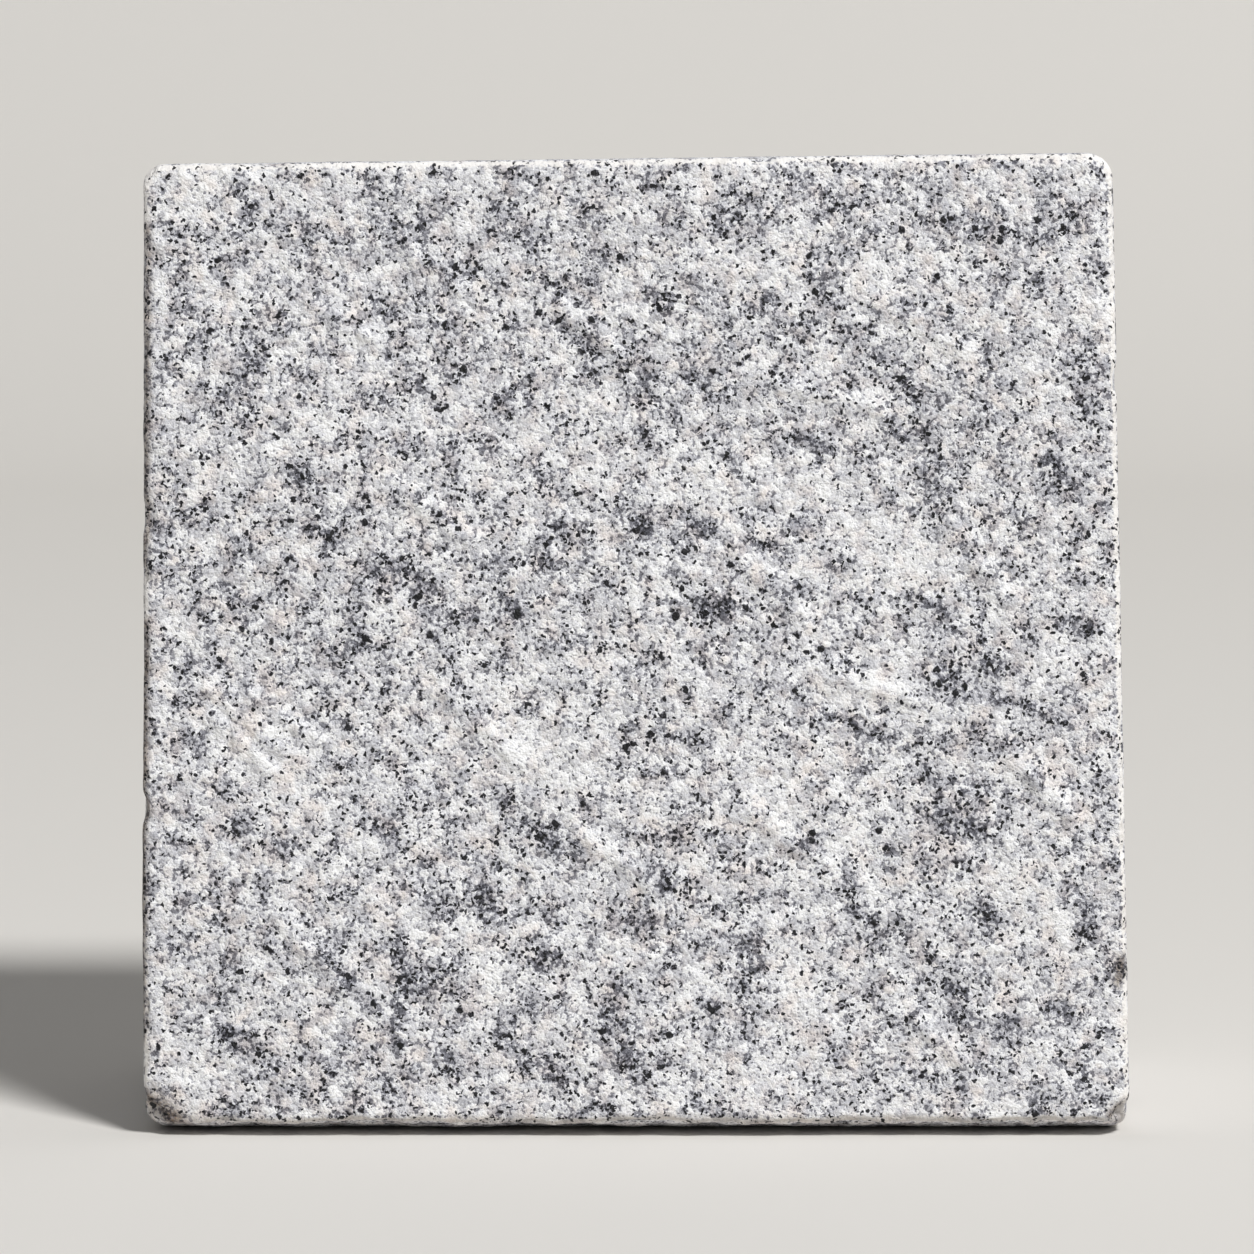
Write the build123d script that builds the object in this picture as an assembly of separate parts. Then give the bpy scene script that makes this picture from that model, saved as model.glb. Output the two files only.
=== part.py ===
from build123d import *
import math
import os

# One granite sett (cobblestone), standing on one of its sides as it would on a level floor.
# Lengths are in millimetres. +X runs to the right along the head, +Y from the head to the tail, +Z up.
# The head is the flamed face that shows in paving. The sides and the tail, its underside there, are sawn.

# Overall form. The saw cuts are set by eye, so no two sides are quite square.
foot_width = 100.0  # width of the head along its foot
height = 99.3  # floor to the top of the head at its right corner
left_drop = 1.2  # how much lower the top of the head is at its left corner
thickness = 50.0  # head to tail along the floor
left_draw = 0.6  # how far the left side leans in by the top
right_draw = 2.4  # how far the right side leans in by the top
head_setback = 2.0  # how far the head leans back by the top
batter = 1.0  # how far the top and the two sides fall in from head to tail

# The bed that it stands on is flat, but slack along the head: it rises clear of the floor there.
slack_run = 9.0
slack_rise = 1.4

# Arrises are tumbled round: tight round the head, more at the tail, and most at the four long corners.
head_arris_radius = 0.8
tail_arris_radius = 1.2
top_left_radius = 2.1
top_right_radius = 2.6
foot_left_radius = 2.1
foot_right_radius = 1.7

# Shallow hollows that the flame leaves in the head, in two sets that cross: how deep they are, how far
# it is from crest to crest, how far along the first crest lies, and the slant of the second set.
hollow_depth = 0.30
hollow_pitch = 37.0
hollow_shift = 3.5
cross_pitch = 42.4
cross_shift = 8.1
cross_slant = 23.6

# Conchoidal spalls at the two lower corners of the head: how deep, and how round the scoop is.
left_spall = 1.4
right_spall = 1.0
scoop_radius = 5.0

# Working room of the shaping tools outside the stone, the spacing of the head's control points, and
# how closely its surface keeps to them.
overcut = 12.0
grid_step = 7.0
fit_tolerance = 0.01

# An edge counts as one of the long ones if at least this share of its direction is head to tail.
lengthwise_share = 0.8


def corner(side, level, end):
    """A corner before rounding: side -1 or 1 is left or right, level 1 the top, end 1 the tail."""
    draw = left_draw if side < 0 else right_draw
    top = height - left_drop if side < 0 else height
    x = side * (foot_width / 2 - level * draw - end * batter)
    y = thickness / 2 if end else level * head_setback - thickness / 2
    z = level * (top - end * batter)
    return Vector(x, y, z)


def facing(origin, first, second):
    """The plane of a side through three of its corners, with its normal out of the stone."""
    along = first - origin
    across = second - origin
    return Plane(origin=origin + (along + across) * 0.5, x_dir=along, z_dir=along.cross(across))


def blank():
    """The sawn blank: a flat tail, and a flat bed that eases up from the floor towards the head."""
    tail = thickness / 2
    seat = slack_run - thickness / 2
    ease_radius = (slack_run**2 + slack_rise**2) / (2 * slack_rise)
    reach = slack_run + overcut / 2
    ease_end = (seat - reach, ease_radius - math.sqrt(ease_radius**2 - reach**2))
    over = height + overcut
    with BuildSketch(Plane.YZ) as side_view:
        with BuildLine():
            bed = Line((tail, 0), (seat, 0))
            TangentArc(bed @ 1, ease_end, tangent=bed % 1)
            Polyline(ease_end, (ease_end[0], over), (tail, over), (tail, 0))
        make_face()
    return extrude(side_view.sketch, foot_width / 2 + overcut, both=True)


def flame_hollow(u, v):
    """Height of the head over its plane: two crossing sets of hollows of unequal pitch."""
    slant = math.radians(cross_slant)
    run = v * math.cos(slant) + u * math.sin(slant)
    along = math.sin(2 * math.pi * (u + hollow_shift) / hollow_pitch)
    across = math.sin(2 * math.pi * (run + cross_shift) / cross_pitch)
    return hollow_depth * (along + across) / 2


def flamed_waste():
    """What the saw and the flame take off in front of the head, down to its hollowed surface."""
    foot_left, foot_right, top_left = corner(-1, 0, 0), corner(1, 0, 0), corner(-1, 1, 0)
    half = max(foot_width, height) / 2 + overcut
    steps = math.ceil(2 * half / grid_step)
    ticks = [half * (2 * step / steps - 1) for step in range(steps + 1)]
    grid = [[Vector(u, v, flame_hollow(u, v)) for v in ticks] for u in ticks]
    skin = Face.make_surface_from_array_of_points(grid, tol=fit_tolerance, min_deg=3, max_deg=3)
    return facing(foot_left, foot_right, top_left).location * Solid.extrude(skin, Vector(0, 0, 2 * overcut))


def long_edges(solid, side, upper):
    """The edges between head and tail at one corner of the stone."""
    found = []
    for edge in solid.edges():
        spot = edge.position_at(0.5)
        lengthwise = abs(edge.tangent_at(0.5).Y) > lengthwise_share
        if lengthwise and spot.X * side > 0 and (spot.Z > height / 2) == upper:
            found.append(edge)
    return found


def scoop(side, depth):
    """The ball that takes a spall off a lower corner of the head, deep below its rounded point."""
    rounding = head_arris_radius * (math.sqrt(3) - 1)
    outward = Vector(side, -1, -1).normalized()
    point = corner(side, 0, 0) + Vector(0, 0, slack_rise)
    return Pos(point + outward * (scoop_radius - rounding - depth)) * Sphere(scoop_radius)


def granite_sett():
    """The finished stone, with the floor at z = 0 and the origin under the middle of its box."""
    left = facing(corner(-1, 0, 0), corner(-1, 1, 0), corner(-1, 0, 1))
    right = facing(corner(1, 0, 0), corner(1, 0, 1), corner(1, 1, 0))
    top = facing(corner(-1, 1, 0), corner(1, 1, 0), corner(-1, 1, 1))
    stone = blank()
    for side in (left, right, top):
        stone = split(stone, bisect_by=side, keep=Keep.BOTTOM)
    stone -= flamed_waste()
    stone = fillet(long_edges(stone, -1, True), top_left_radius)
    stone = fillet(long_edges(stone, 1, True), top_right_radius)
    stone = fillet(long_edges(stone, -1, False), foot_left_radius)
    stone = fillet(long_edges(stone, 1, False), foot_right_radius)
    tail = stone.faces().sort_by(Axis.Y)[-1]
    stone = fillet(tail.edges(), tail_arris_radius)
    head = stone.faces().sort_by(Axis.Y)[0]
    stone = fillet(head.edges(), head_arris_radius)
    stone -= scoop(-1, left_spall)
    stone -= scoop(1, right_spall)
    box = stone.bounding_box()
    return Pos(-box.center().X, -box.center().Y, -box.min.Z) * stone


os.makedirs("parts", exist_ok=True)
stone = granite_sett()
size = stone.bounding_box().size
print("size in mm", round(size.X, 2), round(size.Y, 2), round(size.Z, 2))
print("volume in cubic mm", round(stone.volume))
export_step(stone, "parts/granite_sett.step")
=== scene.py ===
# %% [markdown]
# # A granite sett
# This notebook dresses one paving sett: a block of light grey granite, sawn on five sides, flamed on
# the head that people walk on, and tumbled so that its arrises are round. The block itself, with its
# real size and its out-of-square sides, comes from the CAD model. Here it gets the surface that a saw,
# a flame and a drum leave, and the minerals that the stone is made of.

# %% Load the block
import math

import bmesh
import bpy
import numpy as np
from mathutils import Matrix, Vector


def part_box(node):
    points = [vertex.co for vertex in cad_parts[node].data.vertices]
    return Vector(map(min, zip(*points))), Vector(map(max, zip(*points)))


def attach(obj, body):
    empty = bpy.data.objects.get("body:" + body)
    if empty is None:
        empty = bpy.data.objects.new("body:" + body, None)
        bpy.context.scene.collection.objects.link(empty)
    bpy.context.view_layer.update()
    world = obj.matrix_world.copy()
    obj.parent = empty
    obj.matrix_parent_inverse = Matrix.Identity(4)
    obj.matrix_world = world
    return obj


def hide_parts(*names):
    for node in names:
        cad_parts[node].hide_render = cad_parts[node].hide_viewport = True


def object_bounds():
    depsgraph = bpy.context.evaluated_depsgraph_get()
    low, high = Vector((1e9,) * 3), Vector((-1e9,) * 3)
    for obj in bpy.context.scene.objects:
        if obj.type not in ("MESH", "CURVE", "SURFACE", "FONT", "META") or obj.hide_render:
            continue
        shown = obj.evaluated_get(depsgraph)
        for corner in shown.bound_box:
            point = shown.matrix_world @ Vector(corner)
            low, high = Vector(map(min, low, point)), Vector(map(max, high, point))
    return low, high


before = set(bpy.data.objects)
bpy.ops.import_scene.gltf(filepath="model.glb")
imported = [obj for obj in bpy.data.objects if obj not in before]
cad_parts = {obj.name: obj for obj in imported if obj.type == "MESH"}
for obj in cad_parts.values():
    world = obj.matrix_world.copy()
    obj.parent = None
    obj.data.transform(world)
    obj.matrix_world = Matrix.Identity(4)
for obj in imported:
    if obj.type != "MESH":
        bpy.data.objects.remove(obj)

MM = 0.001
cad_low, cad_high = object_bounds()
block_low, block_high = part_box("granite_sett")
width, thickness, height = (high - low for low, high in zip(block_low, block_high))
head_y = block_low[1] / MM
print("block in mm:", [round(side / MM, 1) for side in (width, thickness, height)])

# %% [markdown]
# ## Two small helpers
# Colours are given as sRGB, the way a paint chart prints them, but shaders work in linear
# light, so one function converts them. A node tree is easier to read as one line for each node, so a
# second function adds a node, sets it up and links it. Only the sockets that a node shows are counted.

# %% Helpers for colours and nodes
def linear(code):
    """An sRGB hex colour as linear red, green, blue and alpha."""
    parts = [int(code[start:start + 2], 16) / 255 for start in (1, 3, 5)]
    return [part / 12.92 if part <= 0.04045 else ((part + 0.055) / 1.055) ** 2.4 for part in parts] + [1.0]


def add(tree, kind, inputs=None, **settings):
    """Adds a node. An input is named, or counted among those that show, and takes a value or a link."""
    node = tree.nodes.new(kind)
    for name, value in settings.items():
        setattr(node, name, value)
    for key, value in (inputs or {}).items():
        shown = [socket for socket in node.inputs if socket.enabled]
        socket = shown[key] if isinstance(key, int) else node.inputs[key]
        if isinstance(value, bpy.types.Node):
            value = next(output for output in value.outputs if output.enabled)
        if isinstance(value, bpy.types.NodeSocket):
            tree.links.new(value, socket)
        else:
            socket.default_value = value
    return node


print("white as linear:", linear("#ffffff"))

# %% [markdown]
# ## A mesh fine enough for relief
# The CAD block comes as a few long triangles. Relief needs points everywhere, evenly spread. The
# surface could be subdivided, but its triangles are so long that the points would bunch up. A voxel
# remesh lays a fresh, even skin over the same shape instead, with a point about every 0.4 mm. That is
# fine enough for crests 1.5 mm apart. Once the relief is on, the flatter places are thinned.

# %% Skin of the block
SKIN_STEP = 0.42 * MM
MERGE_GAP = 0.001 * MM


def settled(piece):
    """Turns an object's modifiers into a plain mesh and removes them."""
    bpy.context.view_layer.update()
    shape = piece.evaluated_get(bpy.context.evaluated_depsgraph_get())
    mesh = bpy.data.meshes.new_from_object(shape)
    piece.modifiers.clear()
    piece.data = mesh


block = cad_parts["granite_sett"].data.copy()
block.materials.clear()
loose = bmesh.new()
loose.from_mesh(block)
bmesh.ops.remove_doubles(loose, verts=loose.verts, dist=MERGE_GAP)
loose.to_mesh(block)
loose.free()
stone = bpy.data.objects.new("sett", block)
bpy.context.collection.objects.link(stone)
skin = stone.modifiers.new("skin", "REMESH")
skin.mode = "VOXEL"
skin.voxel_size = SKIN_STEP
skin.use_smooth_shade = True
settled(stone)
print("skin points:", len(stone.data.vertices))

# %% [markdown]
# ## Where the black mica gathers
# In granite the black mica isn't spread evenly: it gathers in clots and short streaks a few
# millimetres long, with a smoky grey halo of quartz round them. No two stones share them, so the ones
# on the head are listed one by one, each as a short stroke: where it starts, where it ends and how far it
# reaches. A noise alone would give clots of the right size, but never those of this stone.

# %% Clots of mica on the head
# Each stroke: across from the middle and up from the floor at its start, the same at its end, and its
# reach, all in mm.
MICA_STROKES = [
    (-44.5, 91.0, -43.5, 91.5, 1.5), (-39.6, 94.0, -40.6, 91.5, 1.2), (-34.0, 92.8, -34.0, 89.5, 1.0),
    (-24.8, 92.9, -24.8, 89.7, 1.0), (-21.0, 89.0, -17.3, 87.1, 1.4), (-13.4, 92.0, -10.8, 89.8, 2.5),
    (-5.9, 85.8, -5.0, 86.0, 1.2), (-20.4, 82.1, -19.6, 82.3, 2.0), (-26.5, 84.5, -26.0, 83.5, 1.4),
    (-9.3, 82.8, -3.0, 78.3, 0.9), (-39.4, 78.6, -40.5, 76.0, 1.7), (-43.4, 73.6, -42.4, 74.8, 1.5),
    (-23.0, 77.2, -22.0, 76.2, 1.5), (-15.0, 73.4, -12.0, 76.0, 1.3), (-34.4, 67.2, -33.8, 65.4, 1.9),
    (-10.3, 68.4, -8.9, 64.9, 0.9), (-33.2, 61.6, -31.0, 60.6, 1.2), (-26.4, 58.2, -24.2, 57.2, 1.9),
    (-22.0, 55.8, -19.3, 53.0, 1.9), (-15.4, 58.0, -14.0, 57.2, 1.3), (-13.6, 54.2, -12.0, 53.0, 1.6),
    (-9.6, 58.4, -8.0, 61.4, 2.1), (-40.9, 54.8, -40.0, 52.6, 1.1), (-31.4, 48.8, -28.0, 50.2, 1.3),
    (8.2, 92.4, 12.2, 91.8, 1.9), (9.8, 95.4, 8.8, 93.4, 1.2), (16.6, 96.4, 20.2, 94.4, 1.5),
    (21.8, 89.0, 24.8, 92.0, 1.1), (29.6, 95.2, 30.0, 94.6, 1.2), (34.6, 91.6, 39.5, 91.0, 1.3),
    (43.8, 92.0, 46.2, 93.4, 2.0), (12.2, 84.0, 13.4, 84.4, 1.6), (1.8, 84.8, 3.8, 82.8, 1.4),
    (18.2, 87.0, 20.4, 84.0, 1.4), (21.2, 81.4, 23.5, 81.4, 1.5), (40.6, 85.8, 41.2, 86.6, 1.3),
    (38.8, 81.2, 40.4, 80.4, 1.3), (46.0, 78.4, 47.0, 77.6, 1.7), (45.6, 74.6, 46.6, 74.2, 1.6),
    (27.0, 78.0, 29.0, 74.0, 1.4), (26.5, 71.0, 30.2, 71.4, 1.4), (30.0, 68.2, 31.2, 66.4, 2.2),
    (16.0, 71.2, 19.6, 70.0, 1.3), (42.6, 68.0, 44.6, 65.8, 2.1), (0.7, 71.4, 1.9, 69.8, 1.3),
    (-1.0, 63.6, 1.4, 61.8, 1.7), (3.6, 62.6, 7.4, 61.6, 1.5), (7.2, 54.2, 8.6, 53.4, 2.2),
    (28.3, 55.0, 33.2, 51.4, 1.3), (35.2, 50.0, 36.4, 48.0, 1.7), (43.6, 52.4, 46.4, 51.2, 1.4),
    (5.4, 77.4, 8.2, 75.6, 2.2), (-1.4, 78.6, 1.2, 77.2, 1.6), (31.4, 47.2, 33.0, 45.8, 2.0),
    (-40.6, 31.6, -39.8, 31.0, 1.6), (-26.4, 31.4, -24.8, 30.4, 1.8), (-21.8, 27.8, -21.2, 27.9, 1.2),
    (-13.4, 34.2, -8.0, 29.4, 1.5), (-15.8, 25.0, -14.8, 23.2, 2.3), (-19.2, 24.4, -18.8, 22.6, 1.3),
    (-10.4, 18.7, -8.6, 18.2, 1.7), (-22.0, 16.0, -20.0, 16.4, 2.3), (-24.0, 19.0, -24.0, 9.6, 1.1),
    (-31.8, 18.6, -29.6, 16.0, 1.4), (-42.8, 14.2, -42.6, 14.4, 1.3), (-41.4, 10.4, -39.2, 9.2, 1.9),
    (-13.2, 12.2, -13.2, 9.8, 1.3), (-19.2, 8.2, -18.0, 6.4, 1.5), (-10.4, 7.4, -7.4, 6.0, 1.8),
    (-2.6, 12.4, -0.6, 7.0, 1.7), (-1.8, 15.8, -1.4, 15.0, 1.3), (0.0, 22.2, 0.8, 22.4, 1.9),
    (2.4, 26.8, 3.0, 26.2, 1.8), (11.4, 15.8, 12.2, 17.6, 2.0), (10.0, 20.4, 12.0, 19.4, 1.9),
    (7.0, 13.4, 7.9, 12.9, 1.5), (19.0, 30.2, 19.8, 31.4, 1.2), (25.4, 28.2, 26.0, 29.2, 1.3),
    (21.2, 24.2, 25.0, 20.5, 1.4), (30.0, 36.6, 34.6, 35.5, 1.8), (31.0, 33.0, 35.0, 31.0, 2.4),
    (34.8, 23.4, 36.2, 21.8, 1.8), (32.2, 16.0, 33.0, 12.4, 1.6), (37.0, 10.8, 38.4, 11.6, 1.4),
    (45.6, 24.2, 45.4, 20.4, 1.7), (47.8, 18.8, 49.4, 16.8, 1.1), (42.0, 13.6, 44.9, 12.2, 1.2),
    (19.0, 43.0, 25.0, 41.2, 1.4), (36.8, 44.8, 43.8, 42.2, 1.1), (21.4, 48.0, 22.6, 47.8, 1.3),
]
print("clots:", len(MICA_STROKES))

# %% [markdown]
# ## Pale patches, crests, chips, stains and painted shade
# The same kind of stroke places what else belongs to this one stone: patches where white feldspar
# crowds the mica out, the low crests that the flame left between its shallow scallops, the chips that
# the drum knocked off the arrises, and the chips and left arris painted dark and brown, partly as earth
# stuck to them and partly as painted shade, since they lie in shade.

# %% Other strokes on the head
PALE_STROKES = [
    (-47.0, 95.5, -46.0, 94.5, 3.0), (-39.0, 40.5, -35.5, 35.0, 3.0), (-13.0, 39.5, -7.0, 38.0, 3.5),
    (24.0, 87.5, 25.0, 85.0, 3.0), (12.5, 88.5, 15.0, 88.5, 2.4), (46.5, 83.5, 48.0, 83.5, 2.2),
    (20.8, 30.8, 23.4, 29.6, 2.4), (24.0, 60.5, 29.5, 57.5, 3.0), (22.0, 45.6, 25.5, 46.2, 2.8),
    (13.0, 35.5, 14.5, 33.5, 3.0), (3.5, 66.8, 9.0, 64.4, 1.8), (15.5, 18.0, 16.5, 15.5, 2.6),
    (1.8, 81.4, 3.4, 80.4, 1.5), (42.0, 20.8, 43.6, 20.2, 1.4), (31.0, 37.7, 33.5, 37.3, 1.0),
    (-45.5, 6.5, -44.0, 5.5, 3.0), (37.0, 27.0, 38.0, 25.0, 2.2), (41.5, 48.5, 43.0, 47.5, 2.4),
    (-20.0, 91.5, -18.0, 91.8, 1.6), (16.0, 66.0, 23.0, 65.4, 1.8), (-17.0, 19.5, -15.0, 16.0, 1.8),
    (-28.0, 29.8, -27.0, 29.4, 1.8), (-43.0, 66.5, -40.5, 67.5, 1.8), (38.0, 78.5, 42.0, 77.0, 2.0),
]
# Painted shade and earth: these strokes darken and brown the chips and the whole left arris, which lie in
# shade.
STAIN_AND_SHADE_STROKES = [
    (-49.5, 3.6, -46.8, 1.0, 1.7), (48.9, 2.6, 48.2, 1.9, 0.9), (48.9, 16.0, 49.2, 18.2, 0.6),
    (-50.3, 10.0, -50.3, 52.0, 0.6), (-50.3, 58.0, -50.3, 92.0, 0.5),
]
RIDGE_STROKES = [
    (-44.0, 46.0, -35.0, 38.5, 1.1), (-43.0, 42.8, -37.0, 37.0, 1.0), (-39.5, 45.0, -32.5, 40.0, 0.8),
    (-8.0, 84.0, -1.5, 79.0, 0.9), (-25.0, 66.0, -17.0, 60.5, 1.1), (10.0, 60.0, 17.0, 52.5, 1.1),
    (15.0, 76.0, 25.0, 73.5, 1.0), (20.0, 47.0, 28.0, 44.5, 1.1), (32.0, 62.0, 38.0, 54.5, 1.2),
    (25.0, 84.5, 33.0, 80.0, 1.1), (-20.0, 45.0, -12.0, 38.5, 1.2), (-34.0, 84.0, -27.0, 80.5, 1.0),
    (-6.0, 31.0, 1.0, 26.0, 1.1), (12.0, 33.0, 19.0, 27.5, 1.0), (-36.0, 22.0, -29.5, 15.5, 1.1),
    (27.0, 13.0, 33.0, 7.5, 1.0), (38.0, 39.0, 44.0, 33.0, 1.1), (-24.0, 90.0, -17.5, 85.5, 1.0),
]
CHIP_STROKES = [
    (-39.6, 98.4, -37.4, 98.5, 0.9), (-49.5, 3.6, -46.8, 1.0, 1.3), (48.8, 1.8, 49.6, 2.8, 0.9),
    (-50.0, 62.0, -50.0, 63.8, 0.7), (49.3, 76.0, 49.2, 77.2, 0.7), (-49.7, 88.0, -49.7, 89.0, 0.7),
    (12.0, 98.8, 13.5, 98.9, 0.7), (-50.1, 33.0, -50.1, 34.0, 0.8),
]
print("other strokes:", sum(map(len, (PALE_STROKES, STAIN_AND_SHADE_STROKES, RIDGE_STROKES, CHIP_STROKES))))

# %% [markdown]
# ## From strokes to the mesh
# Every point of the skin gets one soft number for each kind of stroke: 1 on the stroke, falling to 0
# past its reach. Kept on the mesh as named attributes, the numbers can be read by the relief and by
# the colour alike, so that both agree on where a clot or a chip is. The head leans in as it rises, so
# a stroke's place across moves in with it, and a stroke fades with depth, so none shows on the tail.

# %% Strokes as numbers on the skin
STROKE_DEPTH = 3.5  # how far a stroke reaches into the stone from the head, in mm
HEAD_ROUNDING = 0.8  # how deep the head's own relief lies behind its foremost point, in mm
HEAD_TAPER = 0.0003  # the head narrows by this share of its width for each mm of height
EDGE_SOFTNESS = 1.2  # how fast a stroke fades across
DEPTH_SOFTNESS = 2.0  # how fast it fades into the stone
SHORTEST = 1e-9  # keeps a stroke that is one dot from dividing by zero
REACHED = 0.3


def stroke_field(points, strokes):
    """For each point, how near it is to the nearest stroke: 1 on the stroke, 0 past its reach."""
    field = np.zeros(len(points))
    depth = np.maximum(points[:, 1] - head_y - HEAD_ROUNDING, 0) / STROKE_DEPTH
    for start_x, start_z, end_x, end_z, reach in strokes:
        start = np.array([start_x * (1 - HEAD_TAPER * start_z), start_z])
        run = np.array([end_x * (1 - HEAD_TAPER * end_z), end_z]) - start
        away = points[:, [0, 2]] - start
        along = np.clip(away @ run / max(run @ run, SHORTEST), 0, 1)
        gap = np.linalg.norm(away - along[:, None] * run, axis=1) / reach
        field = np.maximum(field, np.exp(-(gap ** 2) * EDGE_SOFTNESS - depth ** 2 * DEPTH_SOFTNESS))
    return field


points = np.empty(len(stone.data.vertices) * 3, dtype=np.float32)
stone.data.vertices.foreach_get("co", points)
points = points.reshape(-1, 3) / MM
for field_name, strokes in (("clot", MICA_STROKES), ("pale", PALE_STROKES), ("stain_and_shade", STAIN_AND_SHADE_STROKES),
                            ("ridge", RIDGE_STROKES), ("chip", CHIP_STROKES)):
    field = stroke_field(points, strokes)
    attribute = stone.data.attributes.new(field_name, "FLOAT", "POINT")
    attribute.data.foreach_set("value", field.astype(np.float32))
    print(field_name, "points reached:", int((field > REACHED).sum()))

# %% [markdown]
# ## Relief from a saw, a flame and a drum
# The flame bursts the outermost crystals of the head, which leaves it hackly, with crests and pits a few
# millimetres apart. The sawn sides are nearly flat. The drum then bruises and nicks every arris. All
# three follow rules, so they are made by Geometry Nodes: each point of the skin moves along its normal
# by the sum of a few noises, and the noises are told apart by where the point lies and which way it
# faces. Modelled by hand, the same relief would take a day and could not be tuned afterwards.

# %% Sizes of the relief
# All in mm, but for the seed and the share of the flame's roughness that a sawn side has.
RELIEF_SIZES = {
    "Hackle height": 0.70, "Hackle width": 4.2, "Crystal height": 0.36, "Crystal width": 1.5,
    "Wander height": 0.30, "Wander width": 15.0, "Sawn share": 0.22, "Ridge height": 0.55,
    "Chip depth": 0.6, "Foot wave": 0.75, "Foot wave width": 3.2, "Nick depth": 1.0,
    "Nick width": 1.6, "Seed": 7.0,
}

relief = bpy.data.node_groups.new("sett_relief", "GeometryNodeTree")
relief.interface.new_socket("Geometry", in_out="INPUT", socket_type="NodeSocketGeometry")
for name in RELIEF_SIZES:
    relief.interface.new_socket(name, in_out="INPUT", socket_type="NodeSocketFloat")
relief.interface.new_socket("Geometry", in_out="OUTPUT", socket_type="NodeSocketGeometry")
given = relief.nodes.new("NodeGroupInput").outputs
print("inputs of the relief:", len(RELIEF_SIZES))

# %% [markdown]
# ## Telling the head, the sides and the arrises apart
# A point on a flat side faces almost straight along one axis, so the largest part of its normal is near
# 1. On a rounded arris no part is, and that finds every arris without listing one. The flamed head is
# where the normal points forwards. Both masks are blurred a little, so that no line shows between them.

# %% Masks by the way a point faces
ARRIS_START = 0.985
ARRIS_FULL = 0.80
FLAMED_START = -0.55
FLAMED_FULL = -0.85

position = add(relief, "GeometryNodeInputPosition")
position = add(relief, "ShaderNodeVectorMath", {0: position, "Scale": 1 / MM}, operation="SCALE")
facing = add(relief, "GeometryNodeInputNormal")
axes = add(relief, "ShaderNodeSeparateXYZ", {0: facing}).outputs
unsigned = add(relief, "ShaderNodeVectorMath", {0: facing}, operation="ABSOLUTE")
unsigned = add(relief, "ShaderNodeSeparateXYZ", {0: unsigned}).outputs
widest = add(relief, "ShaderNodeMath", {0: unsigned[0], 1: unsigned[1]}, operation="MAXIMUM")
widest = add(relief, "ShaderNodeMath", {0: widest, 1: unsigned[2]}, operation="MAXIMUM")
arris_mask = add(relief, "ShaderNodeMapRange", {0: widest, 1: ARRIS_START, 2: ARRIS_FULL})
arris_mask = add(relief, "GeometryNodeBlurAttribute", {"Value": arris_mask, "Iterations": 1})
flamed_mask = add(relief, "ShaderNodeMapRange", {0: axes[1], 1: FLAMED_START, 2: FLAMED_FULL})
flamed_mask = add(relief, "GeometryNodeBlurAttribute", {"Value": flamed_mask, "Iterations": 2})
print("masks: an arris under", ARRIS_START, "and the head under", FLAMED_START)

# %% [markdown]
# ## Noises of the relief
# Each kind of roughness has a noise of its own width, from 15 mm for the wander of a saw cut down to
# 1.5 mm for single crystals. They differ only in numbers, so one loop makes them all from a table. The
# fourth dimension of the noise is the seed: another seed gives another stone.

# %% Noises of the relief
# Each one: the input that sets its width, how much finer detail it has, and its shift of the seed.
RELIEF_NOISES = {
    "hackle": ("Hackle width", 3.0, 0.0), "wander": ("Wander width", 2.0, 3.0),
    "nick": ("Nick width", 2.5, 5.0), "broken": ("Crystal width", 2.0, 9.0),
    "wave": ("Foot wave width", 4.0, 13.0),
}
RELIEF_ROUGHNESS = 0.55

relief_noise = {}
for name, (size_input, detail, shift) in RELIEF_NOISES.items():
    scale = add(relief, "ShaderNodeMath", {0: 1.0, 1: given[size_input]}, operation="DIVIDE")
    seed = add(relief, "ShaderNodeMath", {0: given["Seed"], 1: shift}, operation="ADD")
    fog = add(relief, "ShaderNodeTexNoise", {"Vector": position, "W": seed, "Scale": scale,
              "Detail": detail, "Roughness": RELIEF_ROUGHNESS}, noise_dimensions="4D")
    relief_noise[name] = add(relief, "ShaderNodeMath", {0: fog, 1: 0.5}, operation="SUBTRACT")
print("noises of the relief:", list(relief_noise))

# %% [markdown]
# ## The burst surface
# Two things roughen the head: hackle, a few millimetres wide, and single crystals that stand proud. A
# smooth Voronoi pattern makes those, since it is domed in the middle of each cell and low between them.
# The sawn sides get about a fifth of both. All sides wander a little, as a saw blade does.

# %% Hackle, crystals and wander
CRYSTAL_LEVEL = 0.45
CRYSTAL_SMOOTHNESS = 0.35

hackle = add(relief, "ShaderNodeMath", {0: relief_noise["hackle"], 1: given["Hackle height"]},
             operation="MULTIPLY")
scale = add(relief, "ShaderNodeMath", {0: 1.0, 1: given["Crystal width"]}, operation="DIVIDE")
cells = add(relief, "ShaderNodeTexVoronoi", {"Vector": position, "W": given["Seed"], "Scale": scale,
            "Smoothness": CRYSTAL_SMOOTHNESS}, voronoi_dimensions="4D", feature="SMOOTH_F1")
crystal = add(relief, "ShaderNodeMath", {0: CRYSTAL_LEVEL, 1: cells.outputs["Distance"]},
              operation="SUBTRACT")
crystal = add(relief, "ShaderNodeMath", {0: crystal, 1: given["Crystal height"]}, operation="MULTIPLY")
rough = add(relief, "ShaderNodeMath", {0: hackle, 1: crystal}, operation="ADD")
share = add(relief, "ShaderNodeMapRange", {0: flamed_mask, 3: given["Sawn share"], 4: 1.0})
rough = add(relief, "ShaderNodeMath", {0: rough, 1: share}, operation="MULTIPLY")
wander = add(relief, "ShaderNodeMath", {0: relief_noise["wander"], 1: given["Wander height"]},
             operation="MULTIPLY")
print("hackle and crystals in mm:", RELIEF_SIZES["Hackle height"], RELIEF_SIZES["Crystal height"])

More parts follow.
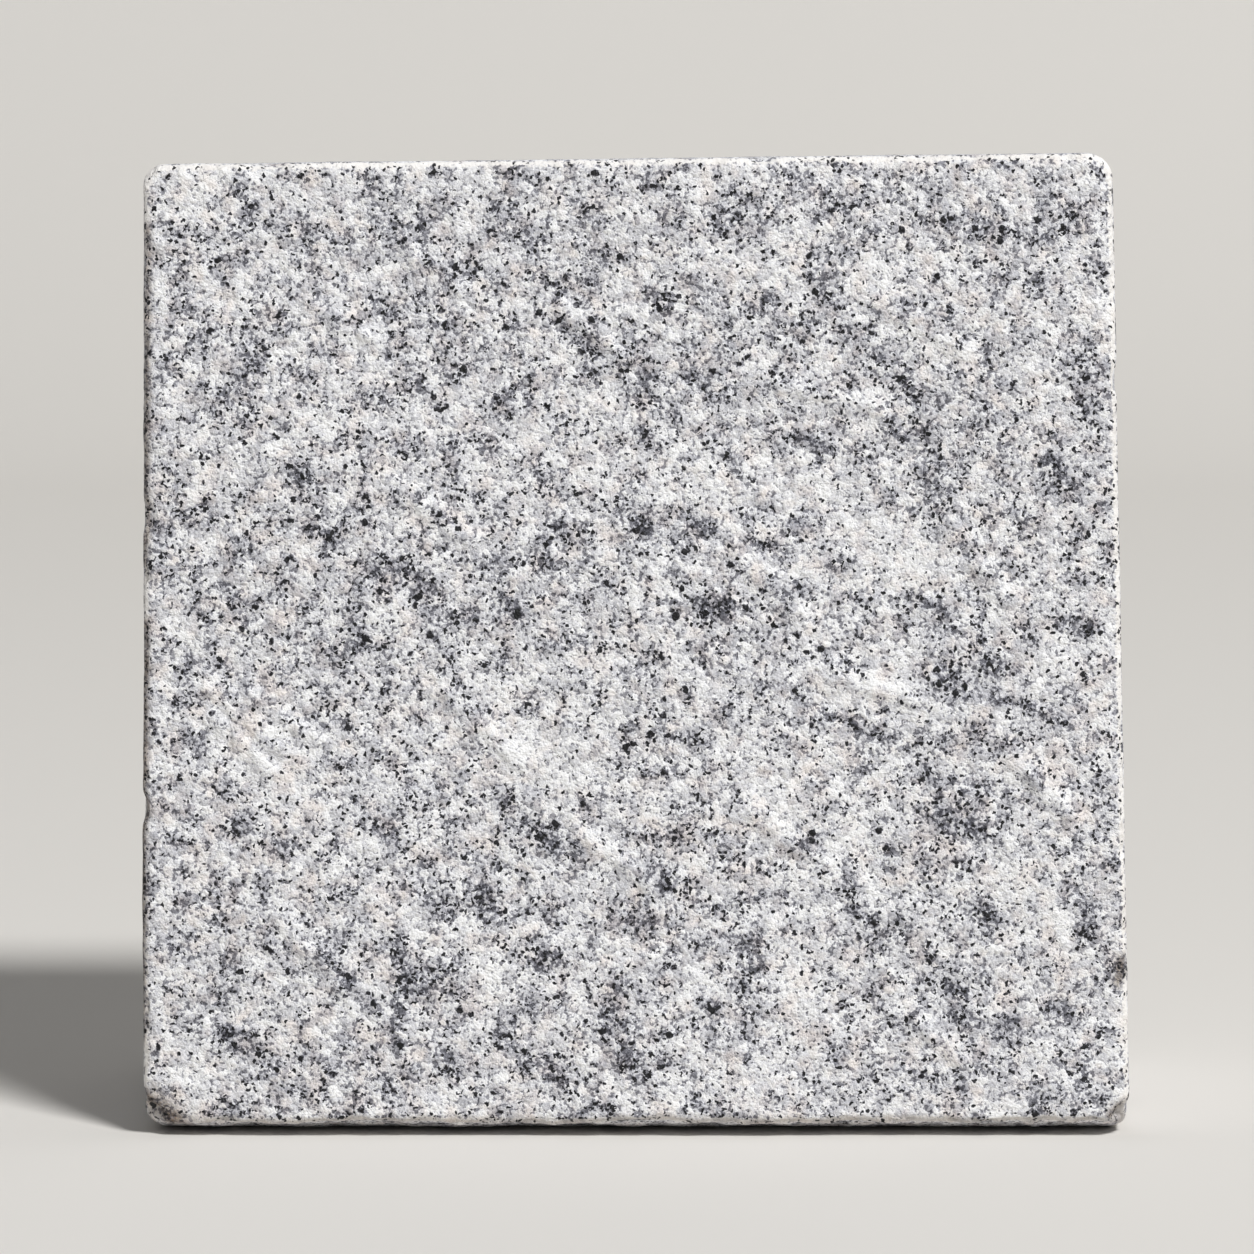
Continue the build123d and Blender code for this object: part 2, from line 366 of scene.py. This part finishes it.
# %% [markdown]
# ## Crests, chips and nicks
# A crest drawn as one even line would look like a scratch, so its height is broken up by a noise. Chips
# are cut where their strokes lie. Nicks are left to a noise that bites only on the arrises, because a
# tumbled arris has hundreds of them.

# %% Crests, chips and nicks
NICK_RANGE = (0.03, 0.30)
BREAK_RANGE = (-0.2, 0.2)
BREAK_SHARE = (0.1, 1.5)

ridge = add(relief, "GeometryNodeInputNamedAttribute", {"Name": "ridge"}, data_type="FLOAT")
ridge = add(relief, "ShaderNodeMath", {0: ridge, 1: given["Ridge height"]}, operation="MULTIPLY")
broken = add(relief, "ShaderNodeMapRange", {0: relief_noise["broken"], 1: BREAK_RANGE[0],
             2: BREAK_RANGE[1], 3: BREAK_SHARE[0], 4: BREAK_SHARE[1]})
ridge = add(relief, "ShaderNodeMath", {0: ridge, 1: broken}, operation="MULTIPLY")
rough = add(relief, "ShaderNodeMath", {0: rough, 1: ridge}, operation="ADD")
chip = add(relief, "GeometryNodeInputNamedAttribute", {"Name": "chip"}, data_type="FLOAT")
chip = add(relief, "ShaderNodeMath", {0: chip, 1: given["Chip depth"]}, operation="MULTIPLY")
rough = add(relief, "ShaderNodeMath", {0: rough, 1: chip}, operation="SUBTRACT")
bite = add(relief, "ShaderNodeMapRange", {0: relief_noise["nick"], 1: NICK_RANGE[0], 2: NICK_RANGE[1]})
bite = add(relief, "ShaderNodeMath", {0: bite, 1: arris_mask}, operation="MULTIPLY")
bite = add(relief, "ShaderNodeMath", {0: bite, 1: given["Nick depth"]}, operation="MULTIPLY")
print("nicks up to", RELIEF_SIZES["Nick depth"], "mm deep")

# %% [markdown]
# ## How far each point moves
# The bed stays flat, because the stone stands on it: what faces down doesn't move. Along the foot of
# the head the edge is uneven, and there the drum has crumbled it from below. That is a second, small
# move straight up, strongest at the very foot and gone a few millimetres above and behind it.

# %% Sum of the moves
BED_FACING = (-0.9, -0.6)
FOOT_HEIGHTS = (4.5, 1.6)
FOOT_DEPTHS = (7.0, 2.0)
WAVE_RANGE = 0.22

lift = add(relief, "ShaderNodeMath", {0: rough, 1: wander}, operation="ADD")
lift = add(relief, "ShaderNodeMath", {0: lift, 1: bite}, operation="SUBTRACT")
grounded = add(relief, "ShaderNodeMapRange", {0: axes[2], 1: BED_FACING[0], 2: BED_FACING[1]})
lift = add(relief, "ShaderNodeMath", {0: lift, 1: grounded}, operation="MULTIPLY")
lift = add(relief, "ShaderNodeMath", {0: lift, 1: MM}, operation="MULTIPLY")
move = add(relief, "ShaderNodeVectorMath", {0: facing, "Scale": lift}, operation="SCALE")

spots = add(relief, "ShaderNodeSeparateXYZ", {0: position}).outputs
foot = add(relief, "ShaderNodeMapRange", {0: spots[2], 1: FOOT_HEIGHTS[0], 2: FOOT_HEIGHTS[1]})
front = add(relief, "ShaderNodeMapRange", {0: spots[1], 1: head_y + FOOT_DEPTHS[0],
            2: head_y + FOOT_DEPTHS[1]})
wave = add(relief, "ShaderNodeMapRange", {0: relief_noise["wave"], 1: -WAVE_RANGE, 2: WAVE_RANGE,
           3: 0.0, 4: MM})
for factor in (given["Foot wave"], foot, front):
    wave = add(relief, "ShaderNodeMath", {0: wave, 1: factor}, operation="MULTIPLY")
wave = add(relief, "ShaderNodeCombineXYZ", {2: wave})
move = add(relief, "ShaderNodeVectorMath", {0: move, 1: wave}, operation="ADD")
print("foot wave up to", RELIEF_SIZES["Foot wave"], "mm")

# %% [markdown]
# ## Granite
# Granite is an even mix of a few minerals, and each gives the eye something of its own: white feldspar
# in blocky grains, glassy grey quartz between them, black mica in flakes under a millimetre, and here
# and there a warm tint where iron has bled. All of it runs through the whole stone, so the pattern is
# made in three dimensions on the object's own coordinates, in millimetres, and not painted on a side.
# Voronoi cells give the grains, because crystals that grow until they meet make just such a pattern.
#
# The finish changes what the same minerals show. Flaming leaves broken crystal faces that scatter the
# light, so the head is pale and matt. Sawing leaves a smoother side, a little darker and quieter.

# %% Place and noises of the rock
# Each one: width in mm, how much finer detail it has, how rough that detail is, and a shift that keeps
# it apart from the others. Real granite has grit down to 0.05 mm. A pixel of the picture covers 0.1 mm
# of the head, so 0.26 mm is the finest that is drawn.
ROCK_NOISES = {
    "ragged": (0.5, 1.0, 0.55, 11.0), "grit": (0.26, 2.0, 0.7, 23.0), "speckle": (0.42, 1.5, 0.55, 31.0),
    "smoke": (2.5, 3.5, 0.72, 47.0), "breaks": (1.3, 2.5, 0.6, 59.0), "warmth": (2.2, 2.0, 0.55, 71.0),
    "gather": (5.2, 2.0, 0.55, 83.0),
}

granite = bpy.data.materials.new("light_grey_granite")
granite.use_nodes = True
rock = granite.node_tree
rock.nodes.clear()
spot = add(rock, "ShaderNodeTexCoord").outputs["Object"]
place = add(rock, "ShaderNodeVectorMath", {0: spot, "Scale": 1 / MM}, operation="SCALE")
rock_noise = {}
for name, (bump_width, detail, roughness, shift) in ROCK_NOISES.items():
    moved = add(rock, "ShaderNodeVectorMath", {0: place, 1: (shift, 2 * shift, 3 * shift)},
                operation="ADD")
    rock_noise[name] = add(rock, "ShaderNodeTexNoise", {"Vector": moved, "Scale": 1 / bump_width,
                           "Detail": detail, "Roughness": roughness})
print("noises of the rock:", list(rock_noise))

# %% [markdown]
# ## Grains
# Feldspar and quartz grow to about 1 mm here and mica flakes to about 0.4 mm, so there are two sets of
# cells. Real borders are ragged, so the place is shaken by a noise before the cells are laid out. Each
# cell comes with a colour of its own, which serves as three plain random numbers for that grain.

# %% Grains
# Widths and shake in mm.
GRAIN = 0.92
SMALL_GRAIN = 0.38
RAGGEDNESS = 0.7
NOISE_MIDDLE = (-0.5, -0.5, -0.5)

ragged = add(rock, "ShaderNodeVectorMath", {0: rock_noise["ragged"].outputs["Color"], 1: NOISE_MIDDLE},
             operation="ADD")
ragged = add(rock, "ShaderNodeVectorMath", {0: ragged, "Scale": RAGGEDNESS}, operation="SCALE")
ragged = add(rock, "ShaderNodeVectorMath", {0: place, 1: ragged}, operation="ADD")
grains = add(rock, "ShaderNodeTexVoronoi", {"Vector": ragged, "Scale": 1 / GRAIN})
grain = add(rock, "ShaderNodeSeparateColor", {0: grains.outputs["Color"]}).outputs
small = add(rock, "ShaderNodeTexVoronoi", {"Vector": ragged, "Scale": 1 / SMALL_GRAIN})
small_grain = add(rock, "ShaderNodeSeparateColor", {0: small.outputs["Color"]}).outputs
seams = add(rock, "ShaderNodeTexVoronoi", {"Vector": ragged, "Scale": 1 / GRAIN},
            feature="DISTANCE_TO_EDGE")
print("grains in mm:", GRAIN, SMALL_GRAIN)

# %% [markdown]
# ## Smoke
# How much mica and quartz a place holds is kept as one number, called smoke here: 0 in pure feldspar and
# 1 in a clot. A noise gives the even clouding of the stone, and the strokes add the clots of the head. On
# the sides, where no stroke is drawn, a wider noise gathers clots of the same kind.

# %% Smoke
SMOKE_RANGE = (0.43, 0.76)
STAIN_AND_SHADE_SMOKE = 0.6
PALE_CLEARS = 0.38

painted = {name: add(rock, "ShaderNodeAttribute", attribute_name=name).outputs["Fac"]
           for name in ("clot", "pale", "stain_and_shade", "flamed", "arris")}
smoke = add(rock, "ShaderNodeMapRange", {0: rock_noise["smoke"], 1: SMOKE_RANGE[0], 2: SMOKE_RANGE[1]})
breaks = add(rock, "ShaderNodeMapRange", {0: rock_noise["breaks"], 1: 0.35, 2: 0.62, 3: 0.2, 4: 1.2})
clots = add(rock, "ShaderNodeMath", {0: painted["clot"], 1: breaks}, operation="MULTIPLY")
gather = add(rock, "ShaderNodeMapRange", {0: rock_noise["gather"], 1: 0.60, 2: 0.72, 3: 0.0, 4: 0.9})
sawn = add(rock, "ShaderNodeMath", {0: 1.0, 1: painted["flamed"]}, operation="SUBTRACT", use_clamp=True)
gather = add(rock, "ShaderNodeMath", {0: gather, 1: sawn}, operation="MULTIPLY")
# Painted shade and earth: where the stain strokes lie, more smoke makes the stone darker.
stained_and_shaded = add(rock, "ShaderNodeMath", {0: painted["stain_and_shade"], 1: STAIN_AND_SHADE_SMOKE}, operation="MULTIPLY")
for more in (clots, gather, stained_and_shaded):
    smoke = add(rock, "ShaderNodeMath", {0: smoke, 1: more}, operation="MAXIMUM")
cleared = add(rock, "ShaderNodeMath", {0: painted["pale"], 1: PALE_CLEARS}, operation="MULTIPLY")
smoke = add(rock, "ShaderNodeMath", {0: smoke, 1: cleared}, operation="SUBTRACT", use_clamp=True)
# No white dust where the stain strokes paint shade and earth.
arris = add(rock, "ShaderNodeMath", {0: painted["arris"], 1: painted["stain_and_shade"]}, operation="SUBTRACT",
            use_clamp=True)
print("attributes read from the mesh:", list(painted))

# %% [markdown]
# ## Tone
# Lightness is added up first, as one number the way the eye reads it, 0 for black and 1 for white, and
# is turned into a colour once at the end. So each grain's own lightness, the grit, the smoke and the
# flakes can all be tuned by the same measure.

# %% Tone of grains and grit
BASE_TONE = 0.946
GRAIN_TONE = 0.115
GRIT_TONE = 0.18
SMOKE_SHADE = 0.19
PALE_LIFT = 0.03

tone = add(rock, "ShaderNodeMapRange", {0: grain[0], 3: -GRAIN_TONE, 4: GRAIN_TONE})
small_tone = add(rock, "ShaderNodeMapRange", {0: small_grain[0], 3: -0.06, 4: 0.05})
tone = add(rock, "ShaderNodeMath", {0: tone, 1: small_tone}, operation="ADD")
grit = rock_noise["grit"]
grit_tone = add(rock, "ShaderNodeMapRange", {0: grit, 1: 0.2, 2: 0.8, 3: -GRIT_TONE, 4: GRIT_TONE})
grit_share = add(rock, "ShaderNodeMapRange", {0: smoke, 3: 0.7, 4: 1.35})
tone = add(rock, "ShaderNodeMath", {0: grit_tone, 1: grit_share, 2: tone}, operation="MULTIPLY_ADD")
tone = add(rock, "ShaderNodeMath", {0: tone, 1: BASE_TONE}, operation="ADD")
tone = add(rock, "ShaderNodeMath", {0: smoke, 1: -SMOKE_SHADE, 2: tone}, operation="MULTIPLY_ADD")
tone = add(rock, "ShaderNodeMath", {0: painted["pale"], 1: PALE_LIFT, 2: tone}, operation="MULTIPLY_ADD")
print("tone of plain feldspar:", BASE_TONE)

# %% [markdown]
# ## Grey marks and bruises
# Grey marks lie along the seams between grains, where quartz fills the gaps, and crowd together where
# there is smoke. The drum has crushed the outermost grains of every arris to a white bruise, which
# hides most marks there. The same number gives the bruise its dust further on.

# %% Marks and bruises
MARK_RANGE = (0.385, 0.325)
MARK_SHADE = 0.34
SMOKE_MARKS = -0.20
ARRIS_BRUISE = 0.75
BRUISE_RANGE = (0.66, 0.88)
BRUISED_MARKS = 0.25

speckle = rock_noise["speckle"]
seam = add(rock, "ShaderNodeMapRange", {0: seams, 1: 0.0, 2: 0.3, 3: -0.05, 4: 0.05})
marks = add(rock, "ShaderNodeMath", {0: speckle, 1: seam}, operation="ADD")
marks = add(rock, "ShaderNodeMath", {0: smoke, 1: SMOKE_MARKS, 2: marks}, operation="MULTIPLY_ADD")
mark = add(rock, "ShaderNodeMapRange", {0: marks, 1: MARK_RANGE[0], 2: MARK_RANGE[1]})
bruise = add(rock, "ShaderNodeMath", {0: arris, 1: ARRIS_BRUISE, 2: speckle}, operation="MULTIPLY_ADD")
bruise = add(rock, "ShaderNodeMapRange", {0: bruise, 1: BRUISE_RANGE[0], 2: BRUISE_RANGE[1]})
shown = add(rock, "ShaderNodeMapRange", {0: bruise, 3: 1.0, 4: BRUISED_MARKS})
mark = add(rock, "ShaderNodeMath", {0: mark, 1: shown}, operation="MULTIPLY")
tone = add(rock, "ShaderNodeMath", {0: mark, 1: -MARK_SHADE, 2: tone}, operation="MULTIPLY_ADD")
print("a grey mark takes", MARK_SHADE, "off the tone")

# %% [markdown]
# ## Black mica
# A grain is black if its own number falls under the share of mica at that place. So one rule scatters
# single flakes through the pale stone and packs them where there is smoke. Small grains give the flakes
# and large ones, far fewer, give clumps. Each is cut back from the border of its cell, so that two
# neighbours don't melt into one.

# %% Mica flakes
# Each row: the cells, a number of each cell, the share of mica in feldspar and in a clot, and how far
# from the middle of its cell a flake has ended and how far it is still whole.
FLAKE_ROWS = (
    (small, small_grain[1], 0.065, 0.43, 0.60, 0.46),
    (grains, grain[1], 0.008, 0.15, 0.46, 0.34),
)
FLAKE_EDGE = 0.03
FLAKE_SHADE = 0.85
MICA_TONE = 0.14

flakes = []
for cell, number, least, most, gone, full in FLAKE_ROWS:
    share = add(rock, "ShaderNodeMapRange", {0: smoke, 3: least, 4: most})
    spare = add(rock, "ShaderNodeMath", {0: share, 1: number}, operation="SUBTRACT")
    black = add(rock, "ShaderNodeMapRange", {0: spare, 1: 0.0, 2: FLAKE_EDGE})
    inside = add(rock, "ShaderNodeMapRange", {0: cell, 1: gone, 2: full})
    flakes.append(add(rock, "ShaderNodeMath", {0: black, 1: inside}, operation="MULTIPLY"))
flake = add(rock, "ShaderNodeMath", {0: flakes[0], 1: flakes[1]}, operation="MAXIMUM")
tone = add(rock, "ShaderNodeMath", {0: flake, 1: -FLAKE_SHADE, 2: tone}, operation="MULTIPLY_ADD")
darkest = add(rock, "ShaderNodeMapRange", {0: small_grain[2], 3: 0.0, 4: MICA_TONE})
tone = add(rock, "ShaderNodeMath", {0: tone, 1: darkest}, operation="MAXIMUM")
print("share of small grains that are mica:", FLAKE_ROWS[0][2], "to", FLAKE_ROWS[0][3])

# %% [markdown]
# ## From tone to colour
# A ramp turns the tone into greys picked from such a stone, which are never quite neutral: the dark ones
# are blue, as mica and quartz are. Two tints go over it, warm where iron has bled from the mica and cool
# where quartz gathers.

# %% Greys and tints
STONE_GREYS = (
    (0.0, "#040507"), (0.14, "#1b1b20"), (0.3, "#494950"), (0.45, "#717178"), (0.6, "#98989f"),
    (0.74, "#bcbcc2"), (0.85, "#d8d8dc"), (0.94, "#efeff1"), (1.0, "#fbfbfb"),
)
WARM = "#f6ece6"
COOL = "#e6e8ee"

greys = add(rock, "ShaderNodeValToRGB", {0: tone})
ramp = greys.color_ramp
ramp.elements[0].color = linear(STONE_GREYS[0][1])
ramp.elements[1].color = linear(STONE_GREYS[-1][1])
for at, code in STONE_GREYS[1:-1]:
    ramp.elements.new(at).color = linear(code)
warmth = add(rock, "ShaderNodeMapRange", {0: rock_noise["warmth"], 1: 0.48, 2: 0.72, 3: 0.0, 4: 0.75})
colour = add(rock, "ShaderNodeMix", {0: warmth, 1: greys, 2: linear(WARM)}, data_type="RGBA",
             blend_type="MULTIPLY")
coolness = add(rock, "ShaderNodeMapRange", {0: smoke, 1: 0.1, 2: 0.9, 3: 0.0, 4: 0.55})
colour = add(rock, "ShaderNodeMix", {0: coolness, 1: colour, 2: linear(COOL)}, data_type="RGBA",
             blend_type="MULTIPLY")
print("steps of the grey ramp:", len(ramp.elements))

# %% [markdown]
# ## Dust, earth and painted shade
# Crushed grains leave the arrises white with dust, but for the flakes, which stay black. Along the foot
# there is little dust, because the stone has stood in earth there. The lowest 4 mm of the arrises are
# painted darker and browner, partly as that earth and partly as painted shade with the warm bounce of a
# ground under the foot. The stained strokes get the same brown, partly earth and partly painted shade,
# and the other arrises get it faintly, as earth.

# %% Dust, earth and painted shade
DUST = "#fbf8f4"
# Brown of earth, also laid on as painted shade along the foot, on the chips and on the left arris.
EARTH_AND_SHADE = "#978671"
DUST_SHARE = 0.85
# Share of that brown along the foot, partly earth and partly painted shade.
FOOT_SHADE_AND_EARTH = 0.65
ARRIS_EARTH = 0.3

level = add(rock, "ShaderNodeSeparateXYZ", {0: place}).outputs[2]
above_foot = add(rock, "ShaderNodeMapRange", {0: level, 1: 1.2, 2: 4.0, 3: 0.25, 4: 1.0})
bare = add(rock, "ShaderNodeMath", {0: 1.0, 1: flake}, operation="SUBTRACT")
dusty = add(rock, "ShaderNodeMath", {0: bruise, 1: DUST_SHARE}, operation="MULTIPLY")
for factor in (bare, above_foot):
    dusty = add(rock, "ShaderNodeMath", {0: dusty, 1: factor}, operation="MULTIPLY")
colour = add(rock, "ShaderNodeMix", {0: dusty, 1: colour, 2: linear(DUST)}, data_type="RGBA")

# Painted shade and earth along the foot: the lowest 4 mm of the arrises turn darker and browner.
foot_shade_and_earth = add(rock, "ShaderNodeMapRange", {0: level, 1: 3.6, 2: 1.8, 3: 0.0, 4: FOOT_SHADE_AND_EARTH})
bled = add(rock, "ShaderNodeMapRange", {0: warmth, 1: 0.15, 2: 0.7, 3: 0.0, 4: ARRIS_EARTH})
earth_and_shade = add(rock, "ShaderNodeMath", {0: foot_shade_and_earth, 1: bled}, operation="MAXIMUM")
earth_and_shade = add(rock, "ShaderNodeMath", {0: arris, 1: earth_and_shade}, operation="MULTIPLY")
# The stain strokes bring their painted shade and earth in full.
earth_and_shade = add(rock, "ShaderNodeMath", {0: earth_and_shade, 1: painted["stain_and_shade"]}, operation="MAXIMUM")
patchy = add(rock, "ShaderNodeMapRange", {0: grit, 1: 0.3, 2: 0.62, 3: 0.5, 4: 1.0})
earth_and_shade = add(rock, "ShaderNodeMath", {0: earth_and_shade, 1: patchy}, operation="MULTIPLY")
colour = add(rock, "ShaderNodeMix", {0: earth_and_shade, 1: colour, 2: linear(EARTH_AND_SHADE)}, data_type="RGBA",
             blend_type="MULTIPLY")
print("dust and earth as linear:", linear(DUST)[:3], linear(EARTH_AND_SHADE)[:3])

# %% [markdown]
# ## Fine relief and gloss
# Relief under 0.6 mm is too small for the mesh, so it is a bump: broken grains of uneven height, four
# times as strong on the flamed head as on a sawn side. Burst feldspar is matt. Mica splits into smooth
# sheets, so a flake is glossier and glints.

# %% Bump and surface
GRAIN_DOME = 1.1
SAWN_BUMP = 0.05
FLAMED_BUMP = 0.2
FELDSPAR_ROUGHNESS = 0.78
MICA_ROUGHNESS = 0.42
FELDSPAR_IOR = 1.54
SHEEN_LEVEL = 0.3

crumbs = add(rock, "ShaderNodeMath", {0: grit, 1: speckle}, operation="ADD")
crumbs = add(rock, "ShaderNodeMath", {0: grains, 1: -GRAIN_DOME, 2: crumbs}, operation="MULTIPLY_ADD")
strength = add(rock, "ShaderNodeMapRange", {0: painted["flamed"], 3: SAWN_BUMP, 4: FLAMED_BUMP})
crumbs = add(rock, "ShaderNodeMath", {0: crumbs, 1: strength}, operation="MULTIPLY")
bump = add(rock, "ShaderNodeBump", {"Height": crumbs, "Distance": MM, "Strength": 1.0})
gloss = add(rock, "ShaderNodeMapRange", {0: flake, 3: FELDSPAR_ROUGHNESS, 4: MICA_ROUGHNESS})
surface = add(rock, "ShaderNodeBsdfPrincipled", {"Base Color": colour, "Roughness": gloss,
              "Normal": bump, "IOR": FELDSPAR_IOR, "Specular IOR Level": SHEEN_LEVEL})
add(rock, "ShaderNodeOutputMaterial", {"Surface": surface})
print("granite nodes:", len(rock.nodes))

# %% [markdown]
# ## Relief on the skin
# The tree now gets its last nodes: it keeps the two masks for the material, moves the points and hands
# over the stone in granite. Then it is run once and left behind as a plain mesh, which is thinned where
# it is flattest until the stone has under 200,000 triangles.

# %% Relief on the skin
TRIANGLE_LIMIT = 188_000

shape = given["Geometry"]
for name, value in (("arris", arris_mask), ("flamed", flamed_mask)):
    shape = add(relief, "GeometryNodeStoreNamedAttribute", {"Geometry": shape, "Name": name,
                "Value": value}, data_type="FLOAT", domain="POINT")
shape = add(relief, "GeometryNodeSetPosition", {"Geometry": shape, "Offset": move})
shape = add(relief, "GeometryNodeSetShadeSmooth", {"Geometry": shape, "Shade Smooth": True})
shape = add(relief, "GeometryNodeRealizeInstances", {0: shape})
shape = add(relief, "GeometryNodeSetMaterial", {"Geometry": shape, "Material": granite})
relief.links.new(shape.outputs[0], relief.nodes.new("NodeGroupOutput").inputs[0])

carve = stone.modifiers.new("relief", "NODES")
carve.node_group = relief
sockets = {item.name: item.identifier for item in relief.interface.items_tree if item.in_out == "INPUT"}
for name, value in RELIEF_SIZES.items():
    carve[sockets[name]] = value
thin = stone.modifiers.new("thin", "DECIMATE")
thin.ratio = TRIANGLE_LIMIT / (2 * len(stone.data.vertices))
settled(stone)
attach(stone, "root")
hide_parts("granite_sett")
print("triangles:", sum(len(face.vertices) - 2 for face in stone.data.polygons))

# %% [markdown]
# ## Floor
# The floor is a pale sheet that curves up behind the stone, so that no line shows where it turns. It is
# made as one strip of faces that follows a side view: flat, then a quarter circle, then straight up.

# %% Floor
FLOOR = "#e2dfda"
SWEEP_SIDE = 1.6
SWEEP_FRONT = -0.9
SWEEP_BACK = 0.9
SWEEP_RADIUS = 0.45
SWEEP_TOP = 1.6
SWEEP_STEPS = 24


def sweep():
    """Floor and backdrop as one curved sheet."""
    outline = [(SWEEP_FRONT, 0.0), (SWEEP_BACK, 0.0)]
    for step in range(1, SWEEP_STEPS + 1):
        turn = math.pi / 2 * step / SWEEP_STEPS
        outline.append((SWEEP_BACK + SWEEP_RADIUS * math.sin(turn), SWEEP_RADIUS * (1 - math.cos(turn))))
    outline.append((SWEEP_BACK + SWEEP_RADIUS, SWEEP_TOP))
    corners = [(side, y, z) for y, z in outline for side in (-SWEEP_SIDE, SWEEP_SIDE)]
    faces = [(2 * i, 2 * i + 1, 2 * i + 3, 2 * i + 2) for i in range(len(outline) - 1)]
    mesh = bpy.data.meshes.new("floor")
    mesh.from_pydata(corners, [], faces)
    mesh.shade_smooth()
    return mesh


floor = bpy.data.objects.new("floor", sweep())
bpy.context.collection.objects.link(floor)
paper = bpy.data.materials.new("backdrop_paper")  # uncoated paper: no gloss, so no lamp shows in it
paper.use_nodes = True
paper.node_tree.nodes.clear()
sheet = add(paper.node_tree, "ShaderNodeBsdfDiffuse", {"Color": linear(FLOOR)})
add(paper.node_tree, "ShaderNodeOutputMaterial", {"Surface": sheet})
floor.data.materials.append(paper)
print("floor from", SWEEP_FRONT, "to", SWEEP_BACK + SWEEP_RADIUS)

# %% [markdown]
# ## Light
# One large soft lamp stands to the right of the camera and high, so that the top and right arrises
# catch it, the left one falls into shade, and the relief of the head shows. The room gives the rest.

# %% Lamp and room
KEY_TURN = math.radians(32)
KEY_RISE = math.radians(47)
KEY_AWAY = 4.0
KEY_SIZE = 0.9
KEY_POWER = 149.0
ROOM = "#eef1f5"
ROOM_STRENGTH = 0.20

key_data = bpy.data.lights.new("key", "AREA")
key_data.shape = "DISK"
key_data.size = KEY_SIZE
key_data.energy = KEY_POWER
key = bpy.data.objects.new("key", key_data)
bpy.context.collection.objects.link(key)
aim = Vector((0, 0, height / 2))
level_away = math.cos(KEY_RISE) * KEY_AWAY
key.location = aim + Vector((math.sin(KEY_TURN) * level_away, -math.cos(KEY_TURN) * level_away,
                             math.sin(KEY_RISE) * KEY_AWAY))
key.rotation_euler = (aim - key.location).to_track_quat("-Z", "Y").to_euler()

scene = bpy.context.scene
scene.world = bpy.data.worlds.new("room")
scene.world.use_nodes = True
air = scene.world.node_tree.nodes["Background"].inputs
air["Color"].default_value = linear(ROOM)
air["Strength"].default_value = ROOM_STRENGTH
print("key lamp at", [round(part, 2) for part in key.location])

# %% [markdown]
# ## Camera
# The stone was photographed nearly straight on, from 650 mm away and from 5 degrees above. That keeps
# the sides hidden behind the head, and it leaves the head's outline close to square.

# %% Camera
CAMERA_AWAY = 650 * MM
CAMERA_PITCH = math.radians(5.3)
CAMERA_LENS = 186.1
CAMERA_NEAR = 10 * MM
SENSOR = 36.0
AIM_HEIGHT = 51.89 * MM
AIM_ACROSS = -0.96 * MM

camera_data = bpy.data.cameras.new("camera")
camera_data.lens = CAMERA_LENS
camera_data.sensor_width = SENSOR
camera_data.clip_start = CAMERA_NEAR
camera = bpy.data.objects.new("camera", camera_data)
bpy.context.collection.objects.link(camera)
target = Vector((AIM_ACROSS, cad_low[1], AIM_HEIGHT))
camera.location = target + Vector((0, -math.cos(CAMERA_PITCH), math.sin(CAMERA_PITCH))) * CAMERA_AWAY
camera.rotation_euler = (math.pi / 2 - CAMERA_PITCH, 0, 0)
scene.camera = camera
scene.view_settings.view_transform = "Standard"
print("camera at", [round(part, 3) for part in camera.location])
